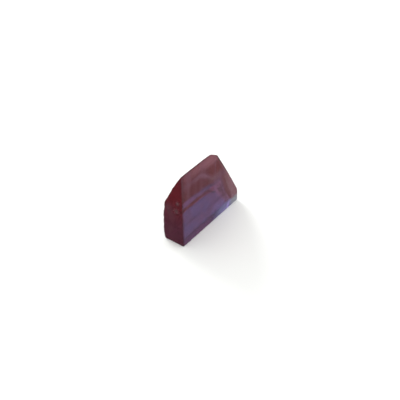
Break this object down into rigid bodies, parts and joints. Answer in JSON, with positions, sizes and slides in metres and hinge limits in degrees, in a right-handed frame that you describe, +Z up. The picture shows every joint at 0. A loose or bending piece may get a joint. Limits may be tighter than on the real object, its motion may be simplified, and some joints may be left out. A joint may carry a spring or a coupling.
{
  "type": "alexandrite crystal",
  "caption": "Natural alexandrite crystal, a thin wedge with a sloping side and a stepped back, standing on its flat broken base.",
  "frame": {"origin": "on the base plane, under the middle of the crystal's bounding box", "axes": "+X along the foot of the broad front face, away from the upright end face; +Y from the front face to the back; +Z up"},
  "size_m": [0.0102, 0.0026, 0.0092],
  "materials": {
    "alexandrite": "natural crystal faces, semi-bright, dark purplish red with violet light through the thick lower half"
  },
  "bodies": {
    "root": {"alexandrite": "alexandrite"}
  },
  "joints": []
}
